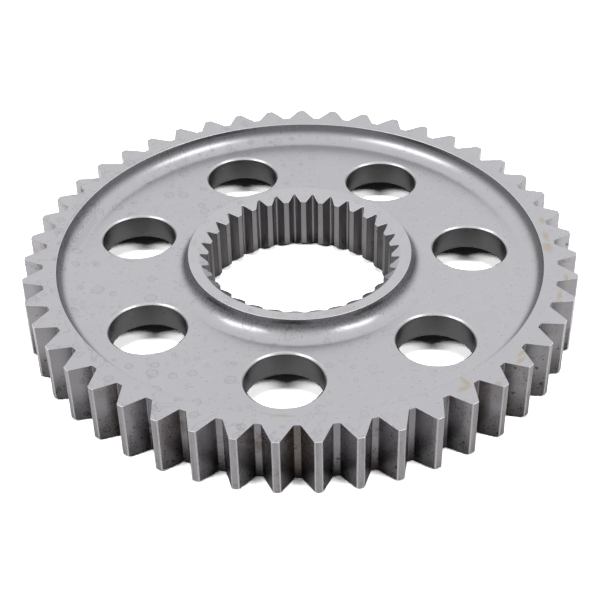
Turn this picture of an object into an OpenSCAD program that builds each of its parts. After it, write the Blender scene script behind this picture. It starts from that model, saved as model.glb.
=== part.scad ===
/* [Output] */

// Which sub-part to draw

/* [Chain teeth] */

// Number of outer teeth
tooth_count = 47; // [44:1:56]
// Chain pitch, sets the tip circle with the tooth count
chain_pitch = 9.525; // [9.3:0.025:10.8]
// Radial depth from the tip circle to the root circle
tooth_depth = 5.2; // [4.4:0.1:5.6]
// Tooth thickness at half depth
tooth_thick = 4.5; // [4.3:0.02:4.7]
// Angle of each straight flank to the middle of its tooth
flank_angle = 28; // [26:0.5:30]
// Axial drop of the tooth ends at the tip circle
end_relief = 0.47; // [0.1:0.01:1]

/* [Body] */

// Width between the two end faces
face_w = 16.6; // [14:0.1:20]
// Radial width of the flat rim land inside the tooth roots
rim_land = 3.5; // [2:0.1:5]
// Depth of the upper recess, down to the web
upper_depth = 4.85; // [4.65:0.05:6]
// Depth of the lower recess, up to the web
lower_depth = 4.4; // [3.4:0.1:4.6]
// Radius of the upper recess corners
upper_fillet = 4.6; // [1.5:0.1:4.6]
// Radius of the lower recess corners
lower_fillet = 3.2; // [1:0.1:3.2]
// Bevel on the recess edges
edge_break = 0.2; // [0.05:0.05:0.25]

/* [Hub] */

// Outer radius of the hub ring
hub_r = 29; // [28:0.1:30.5]
// Number of spline notches
spline_count = 32; // [28:1:34]
// Radius at the bottom of the spline notches
notch_r = 25.86; // [25.5:0.02:26.1]
// Radius of the spline tooth tips
spline_tip_r = 23.84; // [23.4:0.02:24.2]
// Width of the flat spline tooth tip
spline_land = 1.35; // [0.9:0.05:1.6]
// Radius of the rounded notch bottom
notch_fillet = 0.45; // [0.3:0.05:0.5]
// Radius at which the bore bevels meet the end faces
bevel_r = 26.2; // [26.2:0.1:27.2]
// Depth of the bore bevels at the spline tips
bevel_depth = 1.45; // [0.4:0.05:2]
// Angle of the first spline notch
spline_phase = -2.1; // [-5.6:0.1:5.6]

/* [Lightening holes] */

// Number of holes through the web
hole_count = 7; // [5:1:9]
// Diameter of each hole
hole_d = 19.3; // [14:0.1:20]
// Radius of the circle through the hole centres
hole_circle_r = 45.5; // [44.9:0.1:46]
// Bevel on both rims of each hole
hole_bevel = 0.55; // [0.2:0.05:1]
// Angle of the first hole
hole_phase = 3; // [0:0.1:51.4]

/* [Hidden] */

$fn = 96;
steel = [0.74, 0.74, 0.76];
eps = 0.5;

// Tooth circles
tooth_step = 360 / tooth_count;
tip_r = chain_pitch * (1 / tan(180 / tooth_count) + 0.08) / 2;
root_r = tip_r - tooth_depth;
mid_r = tip_r - tooth_depth / 2;
relief_r = root_r + 0.2;
relief_beyond = end_relief * (1 + eps / (tip_r - relief_r));

// Recess wall and web levels
rim_r = root_r - rim_land;
web_top = face_w - upper_depth;
web_low = lower_depth;

// Spline notch construction
spline_step = 360 / spline_count;
notch_half = spline_step / 2 - spline_land / (2 * spline_tip_r) * 180 / PI;
corner_x = spline_tip_r * cos(notch_half);
corner_y = spline_tip_r * sin(notch_half);
arc_x = notch_r - notch_fillet;
corner_far = norm([corner_x - arc_x, corner_y]);
tangent_a = atan2(corner_y, corner_x - arc_x) - acos(notch_fillet / corner_far);
tangent_x = arc_x + notch_fillet * cos(tangent_a);
tangent_y = notch_fillet * sin(tangent_a);
mouth_x = corner_x - eps;
mouth_y = corner_y + eps * (corner_y - tangent_y) / (tangent_x - corner_x);
bottom_facets = 6;

// Half thickness of a tooth at radius r, and the angle it takes up
function half_thick(r) = tooth_thick / 2 + (mid_r - r) * tan(flank_angle);
function half_angle(r) = asin(half_thick(r) / r);
function polar(r, a) = [r * cos(a), r * sin(a)];

// Outline of one tooth, from its right root to its left root
function tooth_points(c) = [
    polar(root_r, c - half_angle(root_r)),
    polar(tip_r, c - half_angle(tip_r)),
    polar(tip_r, c),
    polar(tip_r, c + half_angle(tip_r)),
    polar(root_r, c + half_angle(root_r))
];

// Flat outline of the toothed wheel
module tooth_outline() {
    polygon([for (k = [0 : tooth_count - 1]) each tooth_points(k * tooth_step)]);
}

// Half section of a recess with rounded corners and a bevelled mouth
module recess_section(depth, fillet) {
    translate([hub_r + fillet, -depth])
        square([rim_r - hub_r - 2 * fillet, depth + eps]);
    translate([hub_r, -depth + fillet])
        square([rim_r - hub_r, depth - fillet + eps]);
    translate([hub_r + fillet, -depth + fillet])
        circle(r = fillet);
    translate([rim_r - fillet, -depth + fillet])
        circle(r = fillet);
    polygon([
        [hub_r, -edge_break],
        [hub_r - edge_break, 0],
        [hub_r - edge_break, eps],
        [rim_r + edge_break, eps],
        [rim_r + edge_break, 0],
        [rim_r, -edge_break]
    ]);
}

// Half section of the turned blank
module blank_section() {
    difference() {
        polygon([
            [spline_tip_r, bevel_depth],
            [spline_tip_r, face_w - bevel_depth],
            [bevel_r, face_w],
            [relief_r, face_w],
            [tip_r + eps, face_w - relief_beyond],
            [tip_r + eps, relief_beyond],
            [relief_r, 0],
            [bevel_r, 0]
        ]);
        translate([0, face_w])
            recess_section(upper_depth, upper_fillet);
        mirror([0, 1])
            recess_section(lower_depth, lower_fillet);
    }
}

// Turned blank cut to the tooth outline
module toothed_blank() {
    intersection() {
        rotate_extrude($fn = 360)
            blank_section();
        translate([0, 0, -eps])
            linear_extrude(height = face_w + 2 * eps)
                tooth_outline();
    }
}

// Flat outline of one spline notch, pointing along +X
module notch_outline() {
    polygon([
        [mouth_x, -mouth_y],
        for (i = [-bottom_facets : 2 : bottom_facets])
            [arc_x + notch_fillet * cos(i / bottom_facets * tangent_a),
             notch_fillet * sin(i / bottom_facets * tangent_a)],
        [mouth_x, mouth_y]
    ]);
}

// Notches of the spline around the bore
module spline_notches() {
    for (k = [0 : spline_count - 1])
        rotate([0, 0, spline_phase + k * spline_step])
            translate([0, 0, -eps])
                linear_extrude(height = face_w + 2 * eps)
                    notch_outline();
}

// One hole through the web with bevelled rims
module web_hole() {
    wide = hole_d + 2 * hole_bevel;
    translate([0, 0, web_low - eps])
        cylinder(d = hole_d, h = web_top - web_low + 2 * eps);
    translate([0, 0, web_top - hole_bevel])
        cylinder(d1 = hole_d, d2 = wide + 2 * eps, h = hole_bevel + eps);
    translate([0, 0, web_low - eps])
        cylinder(d1 = wide + 2 * eps, d2 = hole_d, h = hole_bevel + eps);
}

// Ring of lightening holes
module web_holes() {
    for (k = [0 : hole_count - 1])
        rotate([0, 0, hole_phase + k * 360 / hole_count])
            translate([hole_circle_r, 0, 0])
                web_hole();
}

// Whole sprocket, lower end face on the ground plane
module sprocket() {
    color(steel)
        difference() {
            toothed_blank();
            spline_notches();
            web_holes();
        }
}

sprocket();
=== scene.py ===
import math

import bpy
from mathutils import Matrix, Vector


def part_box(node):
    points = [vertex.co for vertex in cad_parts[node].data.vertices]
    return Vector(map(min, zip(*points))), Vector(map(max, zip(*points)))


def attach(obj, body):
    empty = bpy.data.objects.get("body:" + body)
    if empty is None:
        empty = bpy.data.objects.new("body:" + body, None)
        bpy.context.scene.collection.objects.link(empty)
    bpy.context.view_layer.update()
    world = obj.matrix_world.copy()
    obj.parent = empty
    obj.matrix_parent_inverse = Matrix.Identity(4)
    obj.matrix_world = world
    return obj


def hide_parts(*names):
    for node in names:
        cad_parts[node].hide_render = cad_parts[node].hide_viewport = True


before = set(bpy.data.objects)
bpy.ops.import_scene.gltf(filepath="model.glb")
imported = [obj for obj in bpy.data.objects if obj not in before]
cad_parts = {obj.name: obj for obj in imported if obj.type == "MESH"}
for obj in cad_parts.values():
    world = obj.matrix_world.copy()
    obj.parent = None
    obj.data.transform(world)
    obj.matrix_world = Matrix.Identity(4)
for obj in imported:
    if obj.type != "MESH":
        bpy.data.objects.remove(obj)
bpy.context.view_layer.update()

bl_info = {
    "name": "Chain sprocket",
    "version": (1, 0, 0),
    "blender": (4, 5, 0),
    "location": "3D View > Sidebar > Sprocket",
    "description": "Builds a machined chain sprocket with a splined bore and its studio",
    "category": "Object",
}

MM = 0.001
NODE = "sprocket"
PIECE = "machined_sprocket"
UP = Vector((0, 0, 1))


# Settings that a user would change

def length(name, description, millimetres):
    return bpy.props.FloatProperty(
        name=name, description=description, default=millimetres * MM, min=0.0,
        precision=5, subtype="DISTANCE", unit="LENGTH")


def turn(name, description, degrees):
    return bpy.props.FloatProperty(
        name=name, description=description, default=math.radians(degrees),
        subtype="ANGLE", unit="ROTATION")


def share(name, description, value, highest=1.0):
    return bpy.props.FloatProperty(
        name=name, description=description, default=value, min=0.0, max=highest,
        subtype="FACTOR")


def colour(name, description, red, green, blue):
    return bpy.props.FloatVectorProperty(
        name=name, description=description, default=(red, green, blue), size=3,
        min=0.0, max=1.0, subtype="COLOR")


class ToothSizes(bpy.types.PropertyGroup):
    """Sizes of the chain teeth"""
    count: bpy.props.IntProperty(
        name="Teeth", description="Number of chain teeth", default=47, min=20, max=80)
    tip_radius: length("Tip radius", "Radius over the tooth tips", 71.52)
    depth: length("Depth", "From the tip circle to the root circle", 5.2)
    thickness: length("Thickness", "Tooth thickness at half depth", 4.5)
    flank_angle: turn("Flank angle", "From the middle of the tooth to its flank", 28.0)
    end_relief: length("End relief", "Drop of the tooth ends at the tip circle", 0.47)
    relief_start: length("Relief start", "From the root circle to the end relief", 0.2)
    tip_round: length("Tip rounding", "Radius along the corners of a tooth tip", 0.6)
    root_round: length("Root rounding", "Radius along the corners of a tooth gap", 0.25)


class BodySizes(bpy.types.PropertyGroup):
    """Sizes of the turned body"""
    rim_land: length("Rim land", "Flat land inside the tooth roots", 3.5)
    upper_depth: length("Upper recess", "Depth of the upper recess", 4.85)
    lower_depth: length("Lower recess", "Depth of the lower recess", 4.4)
    upper_fillet: length("Upper fillet", "Corner radius of the upper recess", 4.6)
    lower_fillet: length("Lower fillet", "Corner radius of the lower recess", 3.2)
    rim_round: length("Rim rounding", "Radius on the inner edge of the rim", 0.16)
    hub_round: length("Hub rounding", "Radius on the outer edge of the hub ring", 0.14)
    soft_edge: length("Worn edge", "Bevel worn into every sharp edge", 0.12)
    hub_radius: length("Hub radius", "Outer radius of the hub ring", 29.0)
    hole_count: bpy.props.IntProperty(
        name="Holes", description="Number of lightening holes", default=7, min=3, max=12)
    hole_radius: length("Hole radius", "Radius of a lightening hole", 9.65)
    hole_circle: length("Hole circle", "Radius through the hole centres", 45.5)
    hole_bevel: length("Hole bevel", "Bevel on the hole rims", 0.55)
    hole_phase: turn("First hole", "Angle of the first hole", 3.0)


class SplineSizes(bpy.types.PropertyGroup):
    """Sizes of the spline in the bore"""
    count: bpy.props.IntProperty(
        name="Notches", description="Number of spline notches", default=32, min=12, max=60)
    notch_radius: length("Notch radius", "Radius at the bottom of the notches", 25.86)
    tip_radius: length("Tip radius", "Radius of the spline tooth tips", 23.84)
    land: length("Tip land", "Width of the flat spline tooth tip", 1.35)
    fillet: length("Notch fillet", "Radius of the notch bottom", 0.45)
    land_round: length("Land rounding", "Radius along the corners of a spline tooth", 0.18)
    bevel_radius: length("Bevel radius", "Where the bore bevels meet the end faces", 26.2)
    bevel_depth: length("Bevel depth", "Depth of the bore bevels at the spline tips", 1.45)
    phase: turn("First notch", "Angle of the first notch", -2.1)


class SteelLook(bpy.types.PropertyGroup):
    """Colours and finish of the steel"""
    face: colour("Turned faces", "Colour of the turned faces", 0.52, 0.515, 0.54)
    # Edge colour: paler, as a painted highlight along the edges, with some real polish
    edge: colour("Highlit worn edges", "Colour of the polished edges", 0.62, 0.61, 0.63)
    flank: colour("Tooth flanks", "Colour of the tooth flanks", 0.47, 0.45, 0.47)
    wall: colour("Hole walls", "Colour of the drilled walls", 0.42, 0.415, 0.43)
    groove: colour("Spline", "Colour of the spline flanks", 0.38, 0.365, 0.38)
    rust: colour("Rust bloom", "Colour of the pale rust stains", 0.46, 0.38, 0.26)
    oil: colour("Oil film", "Colour of dried oil", 0.16, 0.11, 0.08)
    face_roughness: share("Face roughness", "Roughness of the turned faces", 0.25)
    flank_roughness: share("Flank roughness", "Roughness of the cut flanks", 0.25)


class StudioLook(bpy.types.PropertyGroup):
    """Camera and lights"""
    azimuth: turn("Azimuth", "Direction of the camera round the part", -4.53)
    elevation: turn("Elevation", "Height of the camera above the horizon", 38.171)
    roll: turn("Roll", "Turn of the camera about its line of sight", -1.216)
    distance: length("Distance", "From the aimed point to the lens", 341.5)
    aim_ahead: length("Aim", "Aimed point, in front of the bore's centre", 21.28)
    lens: bpy.props.FloatProperty(
        name="Lens", description="Focal length on a 36 mm sensor", default=82.7, min=10.0)
    lamp_level: share("Lamps", "Strength of the lamps over the floor", 1.0, 10.0)
    box_level: share("Soft boxes", "Radiance of the soft boxes in the metal", 3.2, 100.0)
    sky_level: share("Surroundings", "Radiance of the pale room in the metal", 1.0, 10.0)
    shade_level: share("Room light", "Radiance of the room on the floor", 0.03, 10.0)
    floor_tone: share("Floor", "Colour of the floor under the part", 0.04)


# Shader nodes written as expressions

class Value:
    """A shader socket that takes part in Python expressions"""

    def __init__(self, board, socket):
        self.board = board
        self.socket = socket

    def maths(self, operation, *others):
        return self.board.node("ShaderNodeMath", {"operation": operation}, [self, *others])

    def __add__(self, other):
        return self.maths("ADD", other)

    __radd__ = __add__

    def __mul__(self, other):
        return self.maths("MULTIPLY", other)

    __rmul__ = __mul__

    def __sub__(self, other):
        return self.maths("SUBTRACT", other)

    def __rsub__(self, other):
        return self.board.node("ShaderNodeMath", {"operation": "SUBTRACT"}, [other, self])

    def __truediv__(self, other):
        return self.maths("DIVIDE", other)

    def __pow__(self, other):
        return self.maths("POWER", other)

    def __abs__(self):
        return self.maths("ABSOLUTE")


class Board:
    """Node tree of one material or world"""

    def __init__(self, tree):
        self.tree = tree
        tree.nodes.clear()

    def node(self, kind, settings=None, sockets=None, output=0):
        """Adds a node with its settings and the values or links of its sockets"""
        made = self.tree.nodes.new(kind)
        for name, value in (settings or {}).items():
            setattr(made, name, value)
        pairs = sockets.items() if isinstance(sockets, dict) else enumerate(sockets or [])
        for place, value in pairs:
            self.feed(made.inputs[place], value)
        return Value(self, made.outputs[output]) if made.outputs else made

    def feed(self, socket, value):
        if isinstance(value, Value):
            self.tree.links.new(value.socket, socket)
        elif value is not None:
            socket.default_value = value

    def output(self, value, kind="ShaderNodeOutputMaterial"):
        self.node(kind, {}, {"Surface": value})

    def place(self):
        """Object coordinates"""
        return self.node("ShaderNodeTexCoord", {}, {}, "Object")

    def ray(self, kind):
        return self.node("ShaderNodeLightPath", {}, {}, kind)

    def mirror_ray(self):
        """1 for a ray that only metal has turned on its way from the camera"""
        return self.ray("Is Glossy Ray") * self.band(self.ray("Diffuse Depth"), 0.0, 1.0, 1.0, 0.0)

    def parts(self, vector):
        split = self.tree.nodes.new("ShaderNodeSeparateXYZ")
        self.feed(split.inputs[0], vector)
        return [Value(self, out) for out in split.outputs]

    def vector(self, x, y, z):
        return self.node("ShaderNodeCombineXYZ", {}, [x, y, z])

    def band(self, value, low, high, bottom=0.0, top=1.0):
        """Smooth step from bottom at low to top at high"""
        settings = {"interpolation_type": "SMOOTHSTEP"}
        return self.node("ShaderNodeMapRange", settings, [value, low, high, bottom, top])

    def noise(self, vector, scale, detail, roughness=0.5):
        sockets = {"Vector": vector, "Scale": scale, "Detail": detail, "Roughness": roughness}
        return self.node("ShaderNodeTexNoise", {}, sockets)

    def cells(self, vector, scale, output="Distance", space="3D"):
        sockets = {"Vector": vector, "Scale": scale}
        return self.node("ShaderNodeTexVoronoi", {"voronoi_dimensions": space}, sockets, output)

    def blend(self, factor, first, second, kind="MIX"):
        settings = {"data_type": "RGBA", "blend_type": kind}
        sockets = {0: factor, 6: first, 7: second}
        return self.node("ShaderNodeMix", settings, sockets, 2)

    def grey(self, value):
        return self.node("ShaderNodeCombineColor", {}, [value, value, value])


def opaque(rgb):
    return (*rgb, 1.0)


def distance_out(x, y):
    """Distance from the wheel's axis"""
    return (x * x + y * y) ** 0.5


def new_material(name):
    material = bpy.data.materials.new(name)
    material.use_nodes = True
    return material, Board(material.node_tree)


# Steel finishes

# How often each pattern repeats in a metre
FACE_GRAIN = 2600.0
FACE_CLOUD = 45.0
FACE_MIST = 160.0
FACE_RIPPLE = 330.0
TURNING_RINGS = 5000.0
TIDE_LINES = 110.0
DUST = 260.0
LARGE_DROPS = 210.0
SMALL_DROPS = 430.0
HUB_SPECKLE = 1500.0
EDGE_NICKS = 1400.0
FLANK_GRAIN = 1800.0
FLANK_CLOUD = 130.0
FLANK_STREAK = 1600.0
FLANK_DROPS = 260.0
FINE_PITS = 1900.0
LARGE_PITS = 850.0
PIT_BORDER = 3000.0
DRILL_LINES = 7000.0
DRILL_CLOUD = 220.0
DRILL_DOTS = 420.0
BROACH_STREAK = 1500.0
BROACH_CLOUD = 240.0
BROACH_SPECKS = 900.0

# Ribs of the far fillet in a radian, and lines of the chatter mark in its half size
FILLET_RIBS = 950.0
CHATTER_LINES = 44.0

# How much darker each mark makes the steel
DROP_RIM = 0.16
DROP_INSIDE = 0.045
TIDE_LINE = 0.12
DUST_SPECK = 0.25
CHATTER_MARK = 0.18
DARK_SPOT = 0.15
# The next two are painted shade with some grime, towards the lower end and towards the root
FLANK_LOW_SHADE_AND_GRIME = 0.62
FLANK_ROOT_SHADE_AND_GRIME = 0.38
FLANK_DROP_RIM = 0.22
FLANK_DROP_INSIDE = 0.06
FLANK_PIT = 0.6

# How much paler the tooth gaps' lands and the tooth tips are than the flanks
ROOT_LAND_GAIN = 0.35
TIP_LAND_GAIN = 0.32

# Cover of the stains
RUST_COVER = 0.6
HUB_RUST_COVER = 0.28

BUMP_DISTANCE = 0.05 * MM
TURNED_GLOSS = 0.5
ACROSS_THE_RINGS = 0.25


def finish_steel(board, tone, roughness, height, strength, turned=0.0):
    """Bare steel; turned steel has highlights drawn out across its rings"""
    bump = board.node("ShaderNodeBump", {}, {
        "Strength": strength, "Distance": BUMP_DISTANCE, "Height": height})
    surface = board.node("ShaderNodeBsdfPrincipled", {}, {
        "Base Color": tone, "Metallic": 1.0, "Roughness": roughness, "Normal": bump,
        "Anisotropic": turned, "Anisotropic Rotation": ACROSS_THE_RINGS if turned else 0.0})
    board.output(surface)


def shaded(board, rgb, level):
    """Colour times a varying level"""
    return board.blend(1.0, opaque(rgb), board.grey(level), "MULTIPLY")


def droplets(board, vector, scale, share_kept, space="2D"):
    """Rims and insides of dried drops, with a random size in each cell"""
    distance = board.cells(vector, scale, space=space)
    chance, size = board.parts(board.cells(vector, scale, "Color", space))[:2]
    reach = 0.1 + 0.24 * size
    kept = board.band(chance, 1.0 - share_kept, 1.02 - share_kept)
    rim = kept * board.band(abs(distance - reach), 0.0, 0.055, 1.0, 0.0)
    inside = kept * board.band(distance - reach, -0.03, 0.0, 1.0, 0.0)
    return rim, inside


def spot_reach(x, y, spot):
    """Distance from a spot, in its half sizes"""
    angle, radius, along, across = spot
    turned = math.radians(angle)
    out, side = (math.cos(turned), math.sin(turned)), (-math.sin(turned), math.cos(turned))
    far = (x * out[0] + y * out[1] - radius * MM) / (across * MM)
    aside = (x * side[0] + y * side[1]) / (along * MM)
    return (far * far + aside * aside) ** 0.5


def blots(board, x, y, wobble, spots):
    """Soft patches at the given spots"""
    total = None
    for spot in spots:
        patch = board.band(spot_reach(x, y, spot) + wobble, 0.25, 1.35, 1.0, 0.0)
        total = patch if total is None else total.maths("MAXIMUM", patch)
    return total


# Each spot's angle in degrees, then radius, half length round the axis and half width in mm
RUST_SPOTS = [(5.0, 65.6, 1.8, 0.9), (-1.5, 64.6, 2.6, 1.0), (-5.5, 64.2, 2.4, 1.5),
              (-23.4, 67.6, 2.6, 0.7), (-25.2, 68.6, 0.8, 1.9), (-44.0, 67.4, 2.2, 0.6),
              (-46.4, 68.6, 1.9, 0.7), (-54.5, 69.9, 1.0, 0.8), (-59.2, 64.6, 0.7, 1.9),
              (-60.8, 66.4, 1.9, 0.7), (56.5, 66.5, 1.8, 0.6), (-99.5, 63.3, 3.0, 0.5),
              (-17.0, 68.5, 2.2, 0.7)]
HUB_SPOTS = [(168.0, 27.6, 2.2, 1.1), (120.5, 27.6, 1.6, 0.9), (-104.5, 27.6, 1.6, 1.0),
             (-73.0, 27.8, 3.6, 0.9), (-81.0, 27.4, 1.2, 0.7), (-105.5, 32.9, 0.6, 0.6),
             (-113.5, 38.6, 0.7, 0.6)]
DARK_SPOTS = [(98.5, 61.0, 1.0, 0.7), (109.5, 61.0, 0.9, 0.6), (113.5, 60.6, 0.7, 0.6),
              (87.0, 61.0, 1.3, 0.7), (93.0, 60.4, 0.8, 0.6), (55.0, 61.6, 0.8, 0.7),
              (-114.6, 36.5, 0.4, 0.4), (132.0, 58.6, 0.7, 0.6)]
CHATTER = (160.0, 61.2, 12.5, 2.4)


def turned_face_material(look, teeth, body, width):
    """Turned faces with fine rings, dried drops, tide lines and a few rust stains"""
    material, board = new_material("turned_face")
    place = board.place()
    x, y, z = board.parts(place)
    radius, angle = distance_out(x, y), y.maths("ARCTAN2", x)
    rim = teeth.tip_radius - teeth.depth - body.rim_land
    web = width - body.upper_depth
    land = board.band(radius, rim, rim + 0.5 * MM)
    left = board.band(x, -0.3 * teeth.tip_radius, 0.5 * teeth.tip_radius, 1.0, 0.0)

    grain = board.noise(place, FACE_GRAIN, 2.0, 0.6)
    cloud = board.noise(place, FACE_CLOUD, 4.0, 0.6)
    mist = board.noise(place, FACE_MIST, 3.0, 0.6)
    ripple = board.noise(place, FACE_RIPPLE, 0.0)
    rings = board.noise(board.vector(radius, 0.0, 0.0), TURNING_RINGS, 2.0, 0.6)
    plane = board.vector(x + 1.1 * MM * (ripple - 0.5), y - 0.9 * MM * (ripple - 0.5), 0.0)

    rim_large, inside_large = droplets(board, plane, LARGE_DROPS, 0.34)
    rim_small, inside_small = droplets(board, plane, SMALL_DROPS, 0.2)
    drops = DROP_RIM * (rim_large + 0.7 * rim_small) + DROP_INSIDE * (inside_large + inside_small)
    tide = board.band(abs(board.noise(place, TIDE_LINES, 2.0) - 0.52), 0.0, 0.014, 1.0, 0.0)
    dust = board.band(board.cells(plane, DUST, space="2D"), 0.03, 0.06, 1.0, 0.0)
    reach = spot_reach(x, y, CHATTER) + 0.3 * (ripple - 0.5) + 0.25 * (mist - 0.5)
    waves = 0.5 + 0.5 * (reach * CHATTER_LINES).maths("SINE")
    chatter = board.band(reach, 0.8, 1.0, 1.0, 0.0) * waves
    marks = TIDE_LINE * tide * (0.25 + 0.75 * land) * left
    marks = marks + DUST_SPECK * dust + CHATTER_MARK * chatter

    # The hub's outer wall and the fillet at its foot are darker, speckled and darkest low down:
    # painted shade. Its end face is a little paler
    groove = radius - body.hub_radius
    wall = board.band(groove, 0.2 * MM, 2.4 * MM, 1.0, 0.0) * board.band(groove, -0.01 * MM, 0.0)
    wall = wall * board.band(z, web, width, 1.0, 0.8)
    speckle = board.band(board.noise(place, HUB_SPECKLE, 3.0, 0.7), 0.5, 0.62)
    hub_face = board.band(groove, -0.1 * MM, 0.0, 1.0, 0.0)
    bare = 1.0 - drops * (0.3 + 0.7 * left) - marks
    # The wall term takes off the painted shade in the groove round the hub
    bare = bare - wall * (0.18 + 0.25 * speckle) + 0.05 * hub_face
    level = bare * (0.855 + 0.08 * cloud + 0.06 * mist + 0.1 * grain + 0.04 * rings)

    ragged = 1.7 * (mist - 0.5) + 0.8 * (grain - 0.5)
    level = level - DARK_SPOT * blots(board, x, y, ragged, DARK_SPOTS)
    rust = RUST_COVER * blots(board, x, y, ragged, RUST_SPOTS)
    rust = rust + HUB_RUST_COVER * blots(board, x, y, ragged, HUB_SPOTS)
    tone = board.blend(rust, shaded(board, look.face, level), opaque(look.rust))

    roughness = look.face_roughness + 0.05 * (cloud - 0.5) + 0.06 * (grain - 0.5) + 0.04 * rim_large
    on_fillet = board.band(radius, rim - 5.32 * MM, rim - 2.82 * MM) * (1.0 - land)
    ribs = (angle * FILLET_RIBS).maths("SINE") * on_fillet
    height = 0.5 * rings + 0.5 * grain + 0.4 * ribs + 1.2 * chatter
    finish_steel(board, tone, roughness, height, 0.12, turned=TURNED_GLOSS)
    return material


def highlit_edge_material(look, teeth, body):
    """Edges painted paler as highlight lines, on top of polish from handling and from the chain;
    less on the holes than elsewhere
    """
    material, board = new_material("highlit_worn_edge")
    place = board.place()
    x, y = board.parts(place)[:2]
    radius = distance_out(x, y)
    hub, rim = body.hub_radius, teeth.tip_radius - teeth.depth - body.rim_land
    nicks = board.noise(place, EDGE_NICKS, 3.0, 0.6)
    on_web = board.band(radius, hub + MM, hub + 2 * MM)
    on_web = on_web * board.band(radius, rim - 2 * MM, rim - MM, 1.0, 0.0)
    # Painted highlight: the edges of the teeth, rim and hub are made half again paler, those of the
    # holes less
    level = (0.75 + 0.4 * nicks) * (1.5 - 0.5 * on_web)
    finish_steel(board, shaded(board, look.edge, level), 0.24 + 0.1 * nicks, nicks, 0.2)
    return material


def pit_field(board, place, scale, kept):
    """Small ragged pits, of which a share is kept"""
    ragged = board.noise(place, PIT_BORDER, 1.0) - 0.5
    chance, size = board.parts(board.cells(place, scale, "Color"))[:2]
    reach = board.cells(place, scale) - 0.38 * size + 0.25 * ragged
    present = board.band(chance - kept, -0.02, 0.02, 1.0, 0.0)
    return board.band(reach, 0.0, 0.12, 1.0, 0.0) * present


def cut_flank_material(look, teeth):
    """Tooth flanks with oil film and pits, darker towards the root and the lower end with painted
    shade and some grime
    """
    material, board = new_material("cut_flank")
    place = board.place()
    x, y, z = board.parts(place)
    radius, angle = distance_out(x, y), y.maths("ARCTAN2", x)
    tip, root = teeth.tip_radius, teeth.tip_radius - teeth.depth
    grain = board.noise(place, FLANK_GRAIN, 3.0, 0.6)
    cloud = board.noise(place, FLANK_CLOUD, 4.0, 0.6)
    streak = board.noise(board.vector(x, y, z * 0.08), FLANK_STREAK, 2.0, 0.6)

    deep = board.band(radius, root, root + 0.6 * teeth.depth, 1.0, 0.0)
    low = board.band(z + 6.0 * MM * (cloud - 0.5), 0.0, 11.0 * MM, 1.0, 0.0)
    tip_land = board.band(radius, tip - 0.35 * MM, tip - 0.15 * MM)
    root_land = board.band(radius, root + 0.1 * MM, root + 0.3 * MM, 1.0, 0.0)

    spots = board.band(cloud + 0.3 * low, 0.46, 0.6)
    fine = pit_field(board, place, FINE_PITS, 0.5 * low + 0.28)
    large = pit_field(board, place, LARGE_PITS, 0.25 * low + 0.1)
    pits = spots * fine.maths("MAXIMUM", large) * (1.0 - 0.7 * tip_land)

    rim, inside = droplets(board, place, FLANK_DROPS, 0.5, "3D")
    # Painted shade with some grime: the flanks darken towards the floor and towards the root, less
    # on the tip lands
    shade_and_grime = FLANK_LOW_SHADE_AND_GRIME * low * (0.5 + cloud) * (1.0 - 0.8 * tip_land) + FLANK_ROOT_SHADE_AND_GRIME * deep
    shade_and_grime = shade_and_grime - ROOT_LAND_GAIN * root_land - TIP_LAND_GAIN * tip_land
    shade_and_grime = shade_and_grime + FLANK_DROP_RIM * rim + FLANK_DROP_INSIDE * inside
    level = (0.88 + 0.16 * cloud + 0.12 * streak + 0.08 * grain) * (1.0 - FLANK_PIT * pits)
    level = level * (1.0 - shade_and_grime).maths("MAXIMUM", 0.12)

    # Each tooth gap has its own amount of oil
    gap = (angle * (teeth.count / (2 * math.pi))).maths("FLOOR")
    luck = board.node("ShaderNodeTexWhiteNoise", {"noise_dimensions": "1D"}, {"W": gap})
    film = board.band(cloud + 0.3 * (luck - 0.5), 0.5, 0.68) * (0.2 + 0.4 * deep)
    tone = board.blend(film, shaded(board, look.flank, level), opaque(look.oil))
    roughness = look.flank_roughness + 0.12 * (cloud - 0.5) + 0.12 * low + 0.2 * pits
    finish_steel(board, tone, roughness, 0.5 * grain + 0.5 * streak - pits, 0.2)
    return material


def drilled_wall_material(look):
    """Drilled walls with fine lines round the hole"""
    material, board = new_material("drilled_wall")
    place = board.place()
    z = board.parts(place)[2]
    lines = board.noise(board.vector(0.0, 0.0, z), DRILL_LINES, 2.0, 0.7)
    cloud = board.noise(place, DRILL_CLOUD, 3.0, 0.6)
    dots = board.band(board.cells(place, DRILL_DOTS), 0.05, 0.12, 1.0, 0.0)
    level = (0.7 + 0.35 * lines + 0.25 * cloud) * (1.0 - 0.5 * dots)
    finish_steel(board, shaded(board, look.wall, level), 0.26 + 0.08 * cloud, lines, 0.15)
    return material


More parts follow.
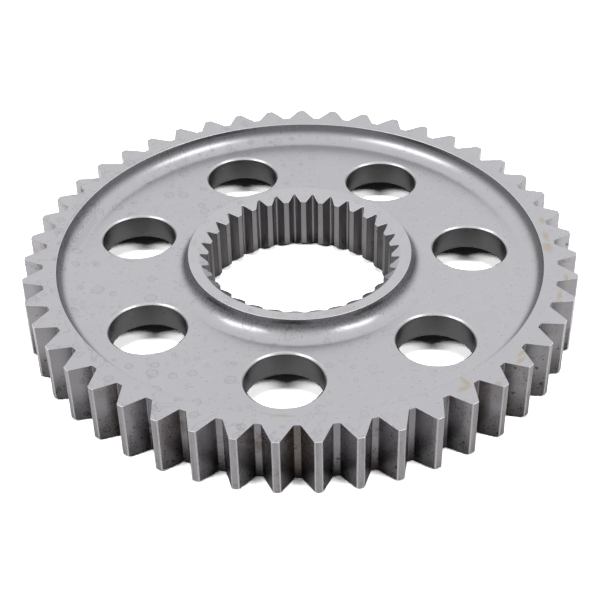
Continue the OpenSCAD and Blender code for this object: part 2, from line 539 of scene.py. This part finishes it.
def spline_material(look, spline):
    """Broached spline with lengthwise streaks, paler lands and notch bottoms, and painted shade
    towards the lower end of the bore
    """
    material, board = new_material("broached_spline")
    place = board.place()
    x, y, z = board.parts(place)
    radius, tip, notch = distance_out(x, y), spline.tip_radius, spline.notch_radius
    streak = board.noise(board.vector(x, y, z * 0.04), BROACH_STREAK, 3.0, 0.6)
    cloud = board.noise(place, BROACH_CLOUD, 4.0, 0.6)
    bottom = board.band(radius, notch - 0.22 * MM, notch - 0.02 * MM)
    land = board.band(radius, tip + 0.02 * MM, tip + 0.12 * MM, 1.0, 0.0)
    edge = board.band(abs(radius - tip - spline.land_round), 0.0, 0.12 * MM, 1.0, 0.0)
    # Painted shade: the bore is made darker towards its lower end
    low = board.band(z + 2.0 * MM * (cloud - 0.5), 0.0, 5.0 * MM, 1.0, 0.0)
    specks = board.band(board.cells(place, BROACH_SPECKS), 0.08, 0.2, 1.0, 0.0)
    specks = specks * board.band(cloud, 0.55, 0.62)
    level = 0.5 + 0.45 * streak + 0.2 * cloud + 0.6 * bottom + 0.7 * land - 0.35 * edge
    level = level * (1.0 - 0.45 * low) * (1.0 - 0.5 * specks)
    film = 0.16 * land + 0.3 * board.band(cloud, 0.6, 0.72)
    tone = board.blend(film, shaded(board, look.groove, level), opaque(look.oil))
    finish_steel(board, tone, 0.24 + 0.1 * cloud, streak, 0.15)
    return material


# Modelling steps

MERGE_DISTANCE = 0.002 * MM


def deselect_all():
    if bpy.context.object and bpy.context.object.mode != "OBJECT":
        bpy.ops.object.mode_set(mode="OBJECT")
    bpy.ops.object.select_all(action="DESELECT")


def start_chain(name, first):
    """New mesh object in edit mode that holds one selected vertex"""
    deselect_all()
    bpy.ops.mesh.primitive_plane_add(size=MM, location=(0, 0, 0))
    bpy.context.object.name = name
    bpy.ops.object.mode_set(mode="EDIT")
    bpy.ops.mesh.select_all(action="SELECT")
    bpy.ops.mesh.merge(type="CENTER")
    bpy.ops.transform.translate(value=first)
    return bpy.context.object


def draw_chain(points):
    """Extrudes the selected vertex from point to point"""
    for here, there in zip(points, points[1:]):
        step = Vector(there) - Vector(here)
        bpy.ops.mesh.extrude_vertices_move(TRANSFORM_OT_translate={"value": step})
    bpy.ops.mesh.select_all(action="SELECT")


def copies_round(count):
    """Copies the selected geometry round the axis"""
    bpy.ops.mesh.spin(steps=count - 1, dupli=True, angle=2 * math.pi * (count - 1) / count,
                      center=(0, 0, 0), axis=UP, use_auto_merge=False)
    bpy.ops.mesh.select_all(action="SELECT")
    bpy.ops.mesh.remove_doubles(threshold=MERGE_DISTANCE)


def raise_by(height):
    """Turns the flat face into a prism with its normals outward"""
    bpy.ops.mesh.select_all(action="SELECT")
    bpy.ops.mesh.extrude_region_move(TRANSFORM_OT_translate={"value": (0, 0, height)})
    bpy.ops.mesh.select_all(action="SELECT")
    bpy.ops.mesh.normals_make_consistent(inside=False)


def cut(piece, tool, operation):
    """Applies a boolean with tool, then removes tool"""
    deselect_all()
    piece.select_set(True)
    bpy.context.view_layer.objects.active = piece
    step = piece.modifiers.new("cut", "BOOLEAN")
    step.operation = operation
    step.object = tool
    step.solver = "EXACT"
    bpy.ops.object.modifier_apply(modifier=step.name)
    bpy.data.objects.remove(tool)


def corner_arc(centre, radius, start, end, steps):
    """Points of an arc in a flat outline"""
    points = []
    for i in range(steps + 1):
        a = math.radians(start + (end - start) * i / steps)
        points.append(centre + radius * Vector((math.cos(a), math.sin(a))))
    return points


def rounded_corner(before, corner, after, radius, steps):
    """Arc that takes the place of one corner of a flat outline"""
    back = (before - corner).normalized()
    on = (after - corner).normalized()
    half = back.angle(on) / 2
    centre = corner + (back + on).normalized() * radius / math.sin(half)
    start = corner + back * radius / math.tan(half) - centre
    end = corner + on * radius / math.tan(half) - centre
    return [centre + start.lerp(end, i / steps).normalized() * radius for i in range(steps + 1)]


def polar(radius, angle):
    return Vector((radius * math.cos(angle), radius * math.sin(angle)))


def ring_prism(name, pitch_outline, count, phase, low, height):
    """Closed ring of equal pitches, raised to a prism"""
    points = [Vector((p.x, p.y, low)) for p in pitch_outline]
    prism = start_chain(name, points[0])
    draw_chain(points)
    bpy.ops.transform.rotate(value=-phase, orient_axis="Z", center_override=(0, 0, 0))
    copies_round(count)
    bpy.ops.mesh.edge_face_add()
    raise_by(height)
    bpy.ops.object.mode_set(mode="OBJECT")
    return prism


# Shape of the sprocket

# How far a cutting shape goes past the face that it cuts
OVER = 1.0 * MM

FILLET_STEPS = 14
EDGE_STEPS = 4
NOTCH_STEPS = 8
TURN_STEPS = 376
HOLE_SIDES = 96


def recess_section(hub, rim, depth, fillet, hub_round, rim_round):
    """Recess between hub and rim, measured down from its end face"""
    hub_edge = Vector((hub - hub_round, -hub_round))
    rim_edge = Vector((rim + rim_round, -rim_round))
    hub_corner = Vector((hub + fillet, fillet - depth))
    rim_corner = Vector((rim - fillet, fillet - depth))
    return [*corner_arc(hub_edge, hub_round, 90, 0, EDGE_STEPS),
            *corner_arc(hub_corner, fillet, 180, 270, FILLET_STEPS),
            *corner_arc(rim_corner, fillet, 270, 360, FILLET_STEPS),
            *corner_arc(rim_edge, rim_round, 180, 90, EDGE_STEPS)]


def blank_section(teeth, body, spline, width):
    """Closed half section of the turned blank, in the XZ plane"""
    root = teeth.tip_radius - teeth.depth
    rim, hub = root - body.rim_land, body.hub_radius
    relief = root + teeth.relief_start
    outer = teeth.tip_radius + OVER
    drop = teeth.end_relief * (outer - relief) / (teeth.tip_radius - relief)
    inner = spline.tip_radius - OVER
    slope = spline.bevel_depth / (spline.bevel_radius - spline.tip_radius)
    bevel = slope * (spline.bevel_radius - inner)
    rounds = body.hub_round, body.rim_round
    upper = recess_section(hub, rim, body.upper_depth, body.upper_fillet, *rounds)
    lower = recess_section(hub, rim, body.lower_depth, body.lower_fillet, *rounds)
    points = [Vector((inner, bevel)), Vector((inner, width - bevel))]
    points += [Vector((spline.bevel_radius, width))]
    points += [Vector((p.x, width + p.y)) for p in upper]
    points += [Vector((relief, width)), Vector((outer, width - drop))]
    points += [Vector((outer, drop)), Vector((relief, 0))]
    points += [Vector((p.x, -p.y)) for p in reversed(lower)]
    points += [Vector((spline.bevel_radius, 0))]
    return [Vector((p.x, 0, p.y)) for p in points]


def turned_blank(teeth, body, spline, width):
    points = blank_section(teeth, body, spline, width)
    blank = start_chain(PIECE, points[0])
    draw_chain([*points, points[0]])
    bpy.ops.mesh.remove_doubles(threshold=MERGE_DISTANCE)
    bpy.ops.mesh.spin(steps=TURN_STEPS, angle=2 * math.pi, center=(0, 0, 0), axis=UP)
    bpy.ops.mesh.select_all(action="SELECT")
    bpy.ops.mesh.remove_doubles(threshold=MERGE_DISTANCE)
    bpy.ops.mesh.normals_make_consistent(inside=False)
    bpy.ops.object.mode_set(mode="OBJECT")
    return blank


def tooth_prism(teeth, width):
    """Wheel outline with every tooth, as a prism through the blank"""
    tip, root = teeth.tip_radius, teeth.tip_radius - teeth.depth
    middle = tip - teeth.depth / 2
    step = 2 * math.pi / teeth.count

    def half_angle(radius):
        half = teeth.thickness / 2 + (middle - radius) * math.tan(teeth.flank_angle)
        return math.asin(half / radius)

    gap = polar(root * math.cos(step / 2 - half_angle(root)), -step / 2)
    foot, shoulder = polar(root, -half_angle(root)), polar(tip, -half_angle(tip))
    top = polar(tip, 0)
    right = [gap, *rounded_corner(gap, foot, shoulder, teeth.root_round, EDGE_STEPS),
             *rounded_corner(foot, shoulder, top, teeth.tip_round, EDGE_STEPS)]
    left = [Vector((p.x, -p.y)) for p in reversed(right)]
    return ring_prism("tooth_prism", [*right, top, *left], teeth.count, 0, -OVER, width + 2 * OVER)


def bore_prism(spline, width):
    """Splined bore, as a prism through the blank"""
    half_step = math.pi / spline.count
    half = half_step - spline.land / (2 * spline.tip_radius)
    corner = polar(spline.tip_radius, half)
    centre = spline.notch_radius - spline.fillet
    reach = Vector((corner.x - centre, corner.y)).length
    tangent = math.atan2(corner.y, corner.x - centre) - math.acos(spline.fillet / reach)
    sweep = math.degrees(tangent)
    bottom = corner_arc(Vector((centre, 0)), spline.fillet, -sweep, sweep, NOTCH_STEPS)
    land = polar(spline.tip_radius * math.cos(half_step - half), half_step)
    left = rounded_corner(bottom[-1], corner, land, spline.land_round, EDGE_STEPS)
    right = [Vector((p.x, -p.y)) for p in reversed(left)]
    outline = [Vector((land.x, -land.y)), *right, *bottom, *left, land]
    return ring_prism("bore_prism", outline, spline.count, spline.phase, -OVER, width + 2 * OVER)


def hole_plugs(body, width):
    """Plugs that cut the bevelled lightening holes"""
    top, low = width - body.upper_depth, body.lower_depth
    bevel, radius = body.hole_bevel, body.hole_radius
    wide = radius + bevel + OVER
    section = [(wide, low - OVER), (radius, low + bevel), (radius, top - bevel), (wide, top + OVER)]
    deselect_all()
    bpy.ops.mesh.primitive_circle_add(
        vertices=HOLE_SIDES, radius=section[0][0], fill_type="NGON",
        location=(0, 0, section[0][1]))
    plug = bpy.context.object
    plug.name = "hole_plugs"
    bpy.ops.object.transform_apply(location=True, rotation=False, scale=False)
    bpy.ops.object.mode_set(mode="EDIT")
    bpy.ops.mesh.select_all(action="SELECT")
    for (r, z), (r_next, z_next) in zip(section, section[1:]):
        bpy.ops.mesh.extrude_region_move(TRANSFORM_OT_translate={"value": (0, 0, z_next - z)})
        bpy.ops.transform.resize(value=(r_next / r, r_next / r, 1), center_override=(0, 0, z_next))
    bpy.ops.mesh.select_all(action="SELECT")
    bpy.ops.mesh.normals_make_consistent(inside=False)
    bpy.ops.transform.translate(value=(body.hole_circle, 0, 0))
    bpy.ops.transform.rotate(value=-body.hole_phase, orient_axis="Z", center_override=(0, 0, 0))
    copies_round(body.hole_count)
    bpy.ops.object.mode_set(mode="OBJECT")
    return plug


SCRAP_DISTANCE = 0.003 * MM
FLAT_ANGLE = math.radians(0.3)
SHARP_ANGLE = math.radians(25)
EVEN_WEIGHT = 100


def soften_edges(piece, body):
    """Breaks the sharp edges a little and shades the faces evenly"""
    deselect_all()
    piece.select_set(True)
    bpy.context.view_layer.objects.active = piece
    bpy.ops.object.mode_set(mode="EDIT")
    bpy.ops.mesh.select_all(action="SELECT")
    bpy.ops.mesh.remove_doubles(threshold=SCRAP_DISTANCE)
    bpy.ops.mesh.dissolve_limited(angle_limit=FLAT_ANGLE)
    bpy.ops.object.mode_set(mode="OBJECT")
    bevel = piece.modifiers.new("soft_edge", "BEVEL")
    bevel.width = body.soft_edge
    bevel.segments = 2
    bevel.limit_method = "ANGLE"
    bevel.angle_limit = SHARP_ANGLE
    bevel.use_clamp_overlap = False
    bpy.ops.object.modifier_apply(modifier=bevel.name)
    bpy.ops.object.shade_smooth()
    even = piece.modifiers.new("even_shading", "WEIGHTED_NORMAL")
    even.mode = "FACE_AREA"
    even.weight = EVEN_WEIGHT
    bpy.ops.object.modifier_apply(modifier=even.name)


EDGE_REACH = 0.22 * MM
EDGE_TILTS = (0.3, 0.95)
UPRIGHT_TILT = 0.5
REGION_MARGIN = 0.3 * MM
HOLE_MARGIN = 0.2 * MM
FLANK, WALL, SPLINE, EDGE = 1, 2, 3, 4


def hole_distance(centre, body):
    """Distance of a point from the middle of the nearest lightening hole"""
    step = 2 * math.pi / body.hole_count
    angle = math.atan2(centre.y, centre.x) - body.hole_phase
    middle = polar(body.hole_circle, round(angle / step) * step + body.hole_phase)
    return (centre.to_2d() - middle).length


def is_highlit_edge(face, radius, teeth, body):
    """True for the rounded edges of the tooth tips, the rim, the hub ring and the holes, which are
    painted with highlights
    """
    if hole_distance(face.center, body) < body.hole_radius + body.hole_bevel:
        return EDGE_TILTS[0] < abs(face.normal.z) < EDGE_TILTS[1]
    outward = (face.center.x * face.normal.x + face.center.y * face.normal.y) / radius
    root = teeth.tip_radius - teeth.depth
    if radius > teeth.tip_radius - EDGE_REACH:
        return EDGE_TILTS[0] < outward < EDGE_TILTS[1]
    on_rim = -EDGE_REACH < root - body.rim_land - radius < 0
    on_hub = 0 < body.hub_radius - radius < EDGE_REACH
    return (on_rim or on_hub) and EDGE_TILTS[0] < abs(face.normal.z) < EDGE_TILTS[1]


def paint_regions(piece, teeth, body, spline, look, width):
    """Turned finish all over, then flanks, hole walls, spline and the worn edges with their painted
    highlight get their own
    """
    piece.data.materials.append(turned_face_material(look, teeth, body, width))
    piece.data.materials.append(cut_flank_material(look, teeth))
    piece.data.materials.append(drilled_wall_material(look))
    piece.data.materials.append(spline_material(look, spline))
    piece.data.materials.append(highlit_edge_material(look, teeth, body))
    root = teeth.tip_radius - teeth.depth
    for face in piece.data.polygons:
        radius = math.hypot(face.center.x, face.center.y)
        upright = abs(face.normal.z) < UPRIGHT_TILT
        if is_highlit_edge(face, radius, teeth, body):
            face.material_index = EDGE
        elif upright and radius > root - REGION_MARGIN:
            face.material_index = FLANK
        elif upright and radius < spline.notch_radius + REGION_MARGIN:
            face.material_index = SPLINE
        elif upright and abs(radius - body.hole_circle) < body.hole_radius + HOLE_MARGIN:
            face.material_index = WALL


class SPROCKET_OT_body(bpy.types.Operator):
    """Build the machined sprocket"""
    bl_idname = "sprocket.body"
    bl_label = "Machined sprocket"

    def execute(self, context):
        scene = context.scene
        teeth, body, spline = scene.sprocket_teeth, scene.sprocket_body, scene.sprocket_spline
        low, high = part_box(NODE)
        width = high.z - low.z
        piece = turned_blank(teeth, body, spline, width)
        cut(piece, tooth_prism(teeth, width), "INTERSECT")
        cut(piece, bore_prism(spline, width), "DIFFERENCE")
        cut(piece, hole_plugs(body, width), "DIFFERENCE")
        soften_edges(piece, body)
        paint_regions(piece, teeth, body, spline, scene.sprocket_look, width)
        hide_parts(NODE)
        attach(piece, "root")
        return {"FINISHED"}


# Studio

FLOOR_SIZE = 1.6
LAMP_DISTANCE = 1.5
BOX_BORDER = 0.05
SENSOR_WIDTH = 36.0
NEAR_CLIP = 0.01
FAR_CLIP = 20.0
AIM_ASIDE = -0.16 * MM

# Colour of the floor to the camera, and in the metal before the part, beside it, in its bore
# and under its web; the darker tones before the part, in its bore and under its web are painted
# shade
FLOOR_SEEN = 2.4
FLOOR_AHEAD_SHADED = 0.42
FLOOR_BESIDE = 0.95
FLOOR_IN_BORE_SHADED = 0.42
FLOOR_UNDER_WEB_SHADED = 0.36

# Grey of the low sky in the metal behind the camera and beyond the part, and of the room
# where one metal face mirrors another
LOW_SKY_BEHIND = 0.2
LOW_SKY_BEYOND = 0.5
TWICE_MIRRORED = 0.42

# Angles in degrees, turned from the camera's side to the right; a lamp's power is its radiance
SOFT_BOXES = (
    {"turn": 57.0, "height": 43.0, "wide": 30.0, "tall": 16.0},
    {"turn": -62.0, "height": 43.0, "wide": 34.0, "tall": 16.0},
)
LAMPS = {
    "right_lamp": {"turn": 58.0, "height": 43.0, "wide": 18.0, "tall": 10.0, "power": 28.0},
    "left_lamp": {"turn": -62.0, "height": 43.0, "wide": 20.0, "tall": 10.0, "power": 26.0},
    "top_lamp": {"turn": 0.0, "height": 88.0, "wide": 26.0, "tall": 12.0, "power": 13.0},
}


def studio_point(studio, ahead, aside, height):
    """Point of the studio, measured from the bore towards the camera and to its right"""
    right = Vector((math.cos(studio.azimuth), math.sin(studio.azimuth), 0))
    back = Vector((math.sin(studio.azimuth), -math.cos(studio.azimuth), 0))
    return back * ahead + right * aside + UP * height


def add_camera(studio, top):
    aim = studio_point(studio, studio.aim_ahead, AIM_ASIDE, top)
    back = studio_point(studio, math.cos(studio.elevation), 0, math.sin(studio.elevation))
    bpy.ops.object.camera_add(location=aim + back * studio.distance)
    camera = bpy.context.object
    camera.name = "studio_camera"
    camera.rotation_mode = "QUATERNION"
    camera.rotation_quaternion = (-back).to_track_quat("-Z", "Y")
    camera.rotation_quaternion.rotate(Matrix.Rotation(studio.roll, 3, back))
    camera.data.lens = studio.lens
    camera.data.sensor_width = SENSOR_WIDTH
    camera.data.clip_start = NEAR_CLIP
    camera.data.clip_end = FAR_CLIP
    bpy.context.scene.camera = camera


def box_direction(studio, box):
    """Unit vector towards a lamp or soft box, turned from the camera's side to the right"""
    around, height = math.radians(box["turn"]), math.radians(box["height"])
    return studio_point(studio, math.cos(height) * math.cos(around),
                        math.cos(height) * math.sin(around), math.sin(height))


def add_lamp(studio, name, box, target):
    """Lamp that covers its part of the sky and lights the floor"""
    direction = box_direction(studio, box)
    bpy.ops.object.light_add(type="AREA", location=target + direction * LAMP_DISTANCE)
    lamp = bpy.context.object
    lamp.name = name
    lamp.data.shape = "RECTANGLE"
    lamp.data.size = 2 * LAMP_DISTANCE * math.tan(math.radians(box["wide"] / 2))
    lamp.data.size_y = 2 * LAMP_DISTANCE * math.tan(math.radians(box["tall"] / 2))
    area = lamp.data.size * lamp.data.size_y
    lamp.data.energy = studio.lamp_level * box["power"] * math.pi * area
    lamp.rotation_euler = (-direction).to_track_quat("-Z", "Y").to_euler()
    lamp.visible_glossy = False
    return lamp


def floor_material(studio, reach):
    """Floor that the camera sees white; in the metal it is paler beside the part, with painted
    shade before it, in its bore and under its web
    """
    material, board = new_material("pale_floor")
    seen = board.ray("Is Camera Ray")
    straight = board.mirror_ray()
    x, y = board.parts(board.place())[:2]
    front = studio_point(studio, 1, 0, 0)
    ahead = x * front.x + y * front.y
    radius = distance_out(x, y)
    # Painted shade: in the metal the floor is darker before the part, in its bore and under its web
    open_floor = board.band(ahead, -0.2 * reach, 0.9 * reach, FLOOR_BESIDE, FLOOR_AHEAD_SHADED)
    covered = board.band(radius, 0.33 * reach, 0.42 * reach)
    beyond = board.band(radius, 0.85 * reach, 0.97 * reach)
    shown = FLOOR_IN_BORE_SHADED + covered * (FLOOR_UNDER_WEB_SHADED - FLOOR_IN_BORE_SHADED) + beyond * (
        open_floor - FLOOR_UNDER_WEB_SHADED)
    level = studio.floor_tone + (FLOOR_SEEN - studio.floor_tone) * seen + (
        shown - studio.floor_tone) * straight
    surface = board.node("ShaderNodeBsdfDiffuse", {}, {"Color": board.grey(level)})
    board.output(surface)
    return material


def mirrored_box(studio, board, direction, box):
    """Share of a soft box that lies in a direction, with soft borders"""
    middle = box_direction(studio, box)
    across = UP.cross(middle).normalized()
    upward = middle.cross(across)
    x, y, z = direction

    def along(axis):
        return x * axis.x + y * axis.y + z * axis.z

    wide, tall = (math.sin(math.radians(box[side] / 2)) for side in ("wide", "tall"))
    aside = board.band(abs(along(across)), wide - BOX_BORDER, wide + BOX_BORDER, 1.0, 0.0)
    above = board.band(abs(along(upward)), tall - BOX_BORDER, tall + BOX_BORDER, 1.0, 0.0)
    return aside * above * board.band(along(middle), 0.0, 0.1)


def light_room(studio):
    """White to the camera, dim to the floor; in the metal a room that is darker low down"""
    world = bpy.data.worlds.new("pale_room")
    bpy.context.scene.world = world
    world.use_nodes = True
    board = Board(world.node_tree)
    direction = board.parts(board.node("ShaderNodeTexCoord", {}, {}, "Generated"))
    x, y, z = direction
    away = studio_point(studio, -1, 0, 0)
    behind = x * away.x + y * away.y
    low_sky = board.band(behind, -0.4, 1.0, LOW_SKY_BEHIND, LOW_SKY_BEYOND)
    room = board.band(z, -0.05 - 0.1 * behind, 0.66 - 0.29 * behind, low_sky, 1.0)
    for box in SOFT_BOXES:
        room = room + mirrored_box(studio, board, direction, box) * (studio.box_level - 1.0)
    again = board.band(board.ray("Glossy Depth"), 1.0, 2.0)
    room = room + again * (board.band(z, 0.4, 0.85, TWICE_MIRRORED, 1.0) - room)
    straight = board.mirror_ray()
    camera = board.ray("Is Camera Ray")
    level = camera + (1.0 - camera) * (
        straight * room * studio.sky_level + (1.0 - straight) * studio.shade_level)
    sky = board.node("ShaderNodeBackground", {}, {"Color": (1, 1, 1, 1), "Strength": level})
    board.output(sky, "ShaderNodeOutputWorld")


class SPROCKET_OT_stage(bpy.types.Operator):
    """Set up floor, lamps and camera"""
    bl_idname = "sprocket.stage"
    bl_label = "Studio"

    def execute(self, context):
        studio = context.scene.sprocket_studio
        deselect_all()
        low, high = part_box(NODE)
        add_camera(studio, high.z)
        top = Vector((0, 0, high.z))
        lamps = [add_lamp(studio, name, box, top) for name, box in LAMPS.items()]
        deselect_all()
        bpy.ops.mesh.primitive_plane_add(size=FLOOR_SIZE, location=(0, 0, low.z))
        floor = bpy.context.object
        floor.name = "floor"
        floor.data.materials.append(floor_material(studio, high.x))
        light_room(studio)
        context.scene.view_settings.view_transform = "Standard"
        return {"FINISHED"}


class SPROCKET_PT_panel(bpy.types.Panel):
    """Sidebar panel with the building steps"""
    bl_idname = "SPROCKET_PT_panel"
    bl_label = "Chain sprocket"
    bl_space_type = "VIEW_3D"
    bl_region_type = "UI"
    bl_category = "Sprocket"

    def draw(self, context):
        for group in SETTINGS:
            self.layout.label(text=group.replace("_", " "))
            for item in getattr(context.scene, group).bl_rna.properties:
                if not item.is_readonly and item.identifier != "name":
                    self.layout.prop(getattr(context.scene, group), item.identifier)
        for operator in STEPS:
            self.layout.operator(operator.bl_idname)


SETTINGS = {
    "sprocket_teeth": ToothSizes,
    "sprocket_body": BodySizes,
    "sprocket_spline": SplineSizes,
    "sprocket_look": SteelLook,
    "sprocket_studio": StudioLook,
}
STEPS = (SPROCKET_OT_body, SPROCKET_OT_stage)
CLASSES = (*SETTINGS.values(), *STEPS, SPROCKET_PT_panel)


def register():
    for entry in CLASSES:
        bpy.utils.register_class(entry)
    for name, group in SETTINGS.items():
        setattr(bpy.types.Scene, name, bpy.props.PointerProperty(type=group))


def unregister():
    for name in SETTINGS:
        delattr(bpy.types.Scene, name)
    for entry in reversed(CLASSES):
        bpy.utils.unregister_class(entry)


def main():
    register()
    bpy.ops.sprocket.body()
    bpy.ops.sprocket.stage()


if __name__ == "__main__":
    main()
